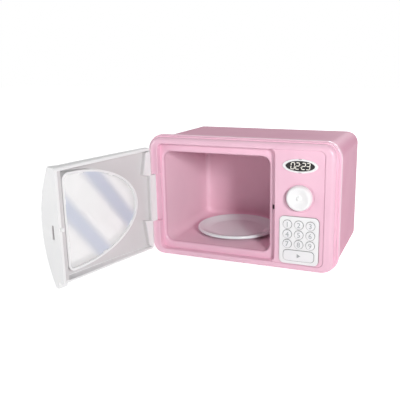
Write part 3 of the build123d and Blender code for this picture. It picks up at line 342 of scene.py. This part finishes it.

# --- Door window -----------------------------------------------------------------------------------
# A clear pane clipped into the door, with soft slanting bands of pale blue painted into its colour and
# cover as painted reflections, so that it seems to shine as a household oven's window does. It is cut
# from thin polished sheet.
clear_tint, reflection_tint = linear(255, 255, 255), linear(216, 222, 236)
clear_cover, band_cover = 0.6, 0.9
band_turn = np.radians(52)
band_places = (-0.0705, -0.1315)
band_half = 0.018
band_core = 0.0035
pane = Finish("window_pane")
slant = pane.y * np.sin(band_turn) + pane.z * np.cos(band_turn)
upper, lower = ((slant - place).math("ABSOLUTE", slant - place) for place in band_places)
# Painted reflection: the bands are streaks of sheen drawn into the pane's colour and cover.
reflection_band = 1 - upper.math("MINIMUM", upper, lower).step(band_core, band_half)
pane.set(
    Base_Color=reflection_band.mix(clear_tint, reflection_tint),
    Roughness=0.06 + 0.03 * pane.place.noise(scale=40, detail=4),
    Alpha=clear_cover + (band_cover - clear_cover) * reflection_band,
    IOR=1.49,
)
pane.relief(pane.place.noise(scale=25, detail=2), strength=0.2, depth=0.0001)
dress(pane, "door_window")

# --- Display ---------------------------------------------------------------------------------------
# A dark oval pane in a white ring, which has a small notch above and below, painted into the ring as a
# grey patch of shade. The four digits and the colon are lit: straight bars, seven places to a digit, that
# lean a little to the right.
lens_black, lens_grey = linear(30, 27, 29), linear(42, 38, 40)
lens = Finish("display_pane")
lens.set(
    Base_Color=lens.place.noise(scale=300, detail=2).mix(lens_black, lens_grey),
    Roughness=0.2 + 0.04 * lens.place.noise(scale=90, detail=4),
    Specular_IOR_Level=0.3,
    Coat_Weight=0.1,
    Coat_Roughness=0.05,
)
lens.relief(lens.place.noise(scale=120, detail=2), strength=0.15, depth=0.00003)
dress(lens, "display_lens")

bezel_low, bezel_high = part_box("display_bezel")
bezel_middle = ((bezel_low.x + bezel_high.x) / 2, (bezel_low.z + bezel_high.z) / 2)
notch_half = 0.0022
notch_depth = 0.0012
notch_blend = 0.0004
notch_shade_grey = linear(188, 176, 182)
notch_start = bezel_high.z - bezel_middle[1] - notch_depth
ring = moulded("white_ring", clean_white, white_flow, white_shine)
aside = (ring.x - bezel_middle[0]).math("ABSOLUTE", ring.x - bezel_middle[0])
apart = (ring.z - bezel_middle[1]).math("ABSOLUTE", ring.z - bezel_middle[1])
notch = (notch_half - aside).step(-notch_blend / 2, notch_blend / 2)
notch *= (apart - notch_start).step(0, notch_blend)
# Painted shade: the notches are grey patches in the ring's colour, not cuts in its shape.
ring.set(Base_Color=notch.mix(ring.colour(), notch_shade_grey))
dress(ring, "display_bezel")

digit_shown = "0223"
digit_height = 0.0088
digit_width = 0.0047
digit_bar = 0.00105
digit_lean = 0.1
digit_places = (-0.0103, -0.0037, 0.0047, 0.0109)
digit_proud = 0.00006
digit_depth = 0.0003
bar_gap = 0.12
colon_place = 0.0005
colon_rise = 0.22
colon_thick = 1.4
bars_lit = {"0": "abcdef", "2": "abged", "3": "abgcd"}
bar_ends = {
    "a": ((-0.5, 0.5), (0.5, 0.5)),
    "b": ((0.5, 0.5), (0.5, 0.0)),
    "c": ((0.5, 0.0), (0.5, -0.5)),
    "d": ((-0.5, -0.5), (0.5, -0.5)),
    "e": ((-0.5, 0.0), (-0.5, -0.5)),
    "f": ((-0.5, 0.5), (-0.5, 0.0)),
    "g": ((-0.5, 0.0), (0.5, 0.0)),
}


def solid_plates(outlines, front, thickness, lean):
    """Flat plates: each outline in X and Z, sheared by the lean, stands at the front plane and goes back."""
    outlines = np.asarray(outlines, float)
    count, corners = outlines.shape[:2]
    across = outlines[..., 0] + lean * (outlines[..., 1] - outlines[..., 1].mean())
    ring = np.stack((across, np.zeros_like(across), outlines[..., 1]), -1)
    points = np.concatenate((ring + (0, front, 0), ring + (0, front + thickness, 0)), 1).reshape(-1, 3)
    first = np.arange(corners)
    after = np.roll(first, -1)
    faces = []
    for start in range(0, count * 2 * corners, 2 * corners):
        faces.append((first + start).tolist())
        faces.append((first[::-1] + start + corners).tolist())
        faces += (np.stack((after, first, first + corners, after + corners), 1) + start).tolist()
    return points, faces


def new_piece(name, points, faces, finish, body):
    """Puts points and faces into a mesh in the frame's own place, with a finish, on a body."""
    mesh = bpy.data.meshes.new(name)
    mesh.from_pydata(np.asarray(points).tolist(), [], faces)
    mesh.materials.append(finish.material)
    mesh.validate()
    piece = bpy.data.objects.new(name, mesh)
    bpy.context.scene.collection.objects.link(piece)
    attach(piece, body)


def bar_outline(start, end, thick):
    """Six-cornered bar between two points, pointed at both ends, drawn clockwise seen from the front."""
    start, end = np.array(start), np.array(end)
    along = (end - start) / np.linalg.norm(end - start)
    side = np.array((-along[1], along[0])) * thick / 2
    start, end = start + along * thick * bar_gap, end - along * thick * bar_gap
    tip = along * thick / 2
    return np.array((start, start + tip + side, end - tip + side, end, end - tip - side, start + tip - side))


lens_low, lens_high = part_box("display_lens")
display_centre = ((lens_low.x + lens_high.x) / 2, (lens_low.z + lens_high.z) / 2)
digit_size = np.array((digit_width, digit_height))
bars = [
    bar_outline(*(bar_ends[bar] * digit_size), digit_bar) + (display_centre[0] + place, display_centre[1])
    for shown, place in zip(digit_shown, digit_places)
    for bar in bars_lit[shown]
]
dot = digit_bar * colon_thick
colon = [
    bar_outline((-dot / 2, up), (dot / 2, up), dot) + (display_centre[0] + colon_place, display_centre[1])
    for up in (-digit_height * colon_rise, digit_height * colon_rise)
]
warm_white, warm_grey = linear(238, 236, 226), linear(226, 222, 210)
lit = Finish("lit_digits")
glow = lit.place.noise(scale=900, detail=1)
lit.set(
    Base_Color=glow.mix(warm_white, warm_grey),
    Roughness=0.35 + 0.1 * glow,
    Emission_Color=warm_white,
    Emission_Strength=0.25,
)
points, faces = solid_plates(bars + colon, lens_low.y - digit_proud, digit_depth, digit_lean)
new_piece("display_digits", points, faces, lit, "casing")

# --- Keypad buttons --------------------------------------------------------------------------------
# Nine round caps with a raised number each, and a wide one that starts the oven with a raised arrow.
# All are moulded in the keypad's white, and stand a little proud of their plate.
number_count = 9
cap_edge = 0.0002
mark_grey, mark_flow = linear(186, 189, 190), linear(176, 179, 181)
cap = moulded("white_button", clean_white, linear(245, 245, 247), shine=0.32, grain=0.00001)
# Painted shade: the caps' sides are toned grey from a little behind their front edge.
gap_toned(cap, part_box("start_button")[0].y + cap_edge)
mark = moulded("grey_mark", mark_grey, mark_flow, shine=0.4, grain=0.00001)
buttons = [f"number_button_{number}" for number in range(1, number_count + 1)]
dress(cap, "start_button", *buttons)
numeral_height = 0.0072
numeral_proud = 0.00025
numeral_steps = 6
letter_thickness = 0.1
arrow_corners = ((-0.002, 0.003), (0.0032, 0), (-0.002, -0.003))


def raised_mark(name, shape, centre, size, front, body):
    """A flat shape from a text or a curve, raised in front of a face and centred on a place there."""
    mesh = bpy.data.meshes.new_from_object(shape.evaluated_get(bpy.context.evaluated_depsgraph_get()))
    bpy.data.objects.remove(shape)
    points = np.empty(len(mesh.vertices) * 3)
    mesh.vertices.foreach_get("co", points)
    points = points.reshape(-1, 3)
    low, high = points.min(0), points.max(0)
    points = (points - (low + high) / 2) * size / (high[1] - low[1])
    points[:, 2] = np.where(points[:, 2] > 0, numeral_proud, -numeral_proud)
    placed = np.stack((points[:, 0] + centre[0], front - points[:, 2], points[:, 1] + centre[1]), 1)
    mesh.vertices.foreach_set("co", placed.ravel())
    mesh.materials.append(mark.material)
    piece = bpy.data.objects.new(name, mesh)
    bpy.context.scene.collection.objects.link(piece)
    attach(piece, body)


def text_shape(words):
    """A text of so many letters in the plain built-in letters, with a little thickness."""
    data = bpy.data.curves.new("numeral", "FONT")
    data.body = words
    data.extrude = letter_thickness
    data.resolution_u = numeral_steps
    shape = bpy.data.objects.new("numeral", data)
    bpy.context.scene.collection.objects.link(shape)
    bpy.context.view_layer.update()
    return shape


for number, button in enumerate(buttons, start=1):
    low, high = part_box(button)
    middle = ((low.x + high.x) / 2, (low.z + high.z) / 2)
    raised_mark(f"numeral_{number}", text_shape(str(number)), middle, numeral_height, low.y, button)

low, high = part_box("start_button")
middle = np.array(((low.x + high.x) / 2, (low.z + high.z) / 2))
points, faces = solid_plates([arrow_corners + middle], low.y - numeral_proud, 2 * numeral_proud, 0)
new_piece("start_arrow", points, faces, mark, "start_button")

# --- Turntable -------------------------------------------------------------------------------------
# A shallow plate with a raised rim, which turns on a keyed hub in the oven's floor. Both are moulded in
# a glossy white plastic that is faintly cool in tone.
cool_white, cool_white_flow = linear(242, 252, 251), linear(237, 249, 248)
china = moulded("plate_white", cool_white, cool_white_flow, shine=0.2, grain=0.00001, coat=0.3)
dress(china, "turntable_plate", "turntable_hub")

# --- Steel parts: screws, hinge pins, the knob's shaft and the battery contacts --------------------
# Small turned, headed and bent parts in zinc-plated steel, with fine marks from their tools and a little
# dulling where they were handled.
dull_scale = 90
dull_range = (0.35, 0.8)
dull_share = 0.8


def metal(name, colour, rough, marks):
    """Bare metal: so many fine marks to the metre, and patches that are a little duller."""
    finish = Finish(name)
    fine = finish.place.noise(marks, detail=4, rough=0.7)
    dull = finish.place.noise(dull_scale, detail=3)
    duller = (*(dull_share * part for part in colour[:3]), 1.0)
    finish.set(
        Base_Color=dull.step(*dull_range).mix(colour, duller),
        Metallic=1.0,
        Roughness=rough + 0.12 * fine + 0.1 * dull,
    )
    return finish.relief(fine, strength=0.2, depth=0.00001)


steel = metal("plated_steel", linear(196, 196, 200), rough=0.22, marks=3000)
dress(
    steel,
    "hinge_pins",
    "knob_shaft",
    "board_screws",
    "liner_screws",
    "housing_screws",
    "motor_screws",
    "battery_cover_screw",
    "battery_contacts",
)

# --- Circuit boards and switches -------------------------------------------------------------------
# Two green boards, with black switches under the buttons and behind the knob, and the black block of
# the display. They are hidden in the finished toy.
board_green, weave_green = linear(22, 92, 52), linear(34, 112, 64)
board = Finish("circuit_board")
weave = board.place.noise(scale=700, detail=2)
board.set(
    Base_Color=weave.mix(board_green, weave_green),
    Roughness=0.35 + 0.15 * weave,
    Coat_Weight=0.3,
)
board.relief(weave, strength=0.2, depth=0.00002)
dress(board, "control_board", "display_board")
black = moulded("black_moulding", linear(30, 30, 32), linear(38, 38, 40), shine=0.45)
dress(black, "rotary_switch", "button_switches", "display_module")

# --- Motor and speaker -----------------------------------------------------------------------------
# The plate's flat gear motor hangs under the oven's floor, in a plain plated case. The speaker sits
# behind the slots in the back wall, in a dark pressed basket.
case = metal("motor_case", linear(168, 170, 174), rough=0.3, marks=900)
dress(case, "turntable_motor")
basket = metal("speaker_basket", linear(70, 70, 72), rough=0.45, marks=600)
dress(basket, "speaker")

# --- Battery box -----------------------------------------------------------------------------------
# A white tray that opens through the back wall, with three cells in plain grey jackets. A pink cover
# closes it, held by one screw.
tray = moulded("tray_white", linear(225, 225, 226), linear(214, 214, 216), shine=0.4)
dress(tray, "battery_box")
cell = metal("cell_jacket", linear(80, 84, 92), rough=0.3, marks=400)
dress(cell, "batteries")

# --- Studio ----------------------------------------------------------------------------------------
# A plain white floor, a soft light from the front right, a little above the oven, weak ones from the
# front left, above and behind, and an even dim sky. What the camera, gloss and clear plastic see behind
# the oven is white.
def seen_ray(tree):
    """1 for rays from the camera, off gloss and through clear plastic, and 0 for those that carry light."""
    path = tree.nodes.new("ShaderNodeLightPath")
    kinds = [Socket(tree, path.outputs[f"Is {kind} Ray"]) for kind in ("Camera", "Glossy", "Transmission")]
    return kinds[0].math("MAXIMUM", kinds[0], kinds[1].math("MAXIMUM", kinds[1], kinds[2]))


floor_size = 6
floor_shade = 0.85
floor_fade = (0.5, 1.6)
sky_dim = 0.08
sky_seen = 1
floor_corners = np.array(((-1, -1, 0), (1, -1, 0), (1, 1, 0), (-1, 1, 0))) * floor_size / 2
floor_mesh = bpy.data.meshes.new("studio_floor")
floor_mesh.from_pydata(floor_corners.tolist(), [], [(0, 1, 2, 3)])
floor = bpy.data.objects.new("studio_floor", floor_mesh)
bpy.context.scene.collection.objects.link(floor)
ground = Finish("studio_white")
away = (ground.x * ground.x + ground.y * ground.y) ** 0.5
paper = away.step(*floor_fade).mix((floor_shade, floor_shade, floor_shade, 1), (1, 1, 1, 1))
ground.set(
    Base_Color=linear(250, 250, 250),
    Roughness=0.9,
    Specular_IOR_Level=0.0,
    Emission_Color=seen_ray(ground.material.node_tree).mix((0, 0, 0, 1), paper),
    Emission_Strength=1.0,
)
floor_mesh.materials.append(ground.material)
light_target = (0, 0, 0.09)


def area_light(name, place, size, power):
    """A square soft light that stands at a place and faces the oven."""
    data = bpy.data.lights.new(name, "AREA")
    data.size = size
    data.energy = power
    light = bpy.data.objects.new(name, data)
    back = np.array(place, float) - light_target
    back /= np.linalg.norm(back)
    right = np.cross((0, 0, 1), back)
    right /= np.linalg.norm(right)
    turned = np.eye(4)
    turned[:3, 0], turned[:3, 1], turned[:3, 2], turned[:3, 3] = right, np.cross(back, right), back, place
    light.matrix_world = Matrix(turned.tolist())
    bpy.context.scene.collection.objects.link(light)


area_light("front_light", place=(0.96, -1.2, 0.56), size=0.3, power=15.2)
area_light("left_light", place=(-1.2, -0.95, 0.3), size=0.8, power=7.8)
area_light("top_light", place=(0.05, 0.15, 1.4), size=0.8, power=2.4)
area_light("back_light", place=(0.3, 1.4, 0.9), size=0.8, power=5.5)
world = bpy.data.worlds.new("studio")
world.use_nodes = True
bpy.context.scene.world = world
sky = world.node_tree
sky.nodes.clear()
seen = seen_ray(sky)
dim = seen.make("ShaderNodeBackground", None, {"Color": (1, 1, 1, 1), "Strength": sky_dim})
bright = seen.make("ShaderNodeBackground", None, {"Color": (1, 1, 1, 1), "Strength": sky_seen})
both = seen.make("ShaderNodeMixShader", None, {0: seen, 1: dim, 2: bright})
seen.make("ShaderNodeOutputWorld", None, {"Surface": both})
bpy.context.scene.view_settings.view_transform = "Standard"
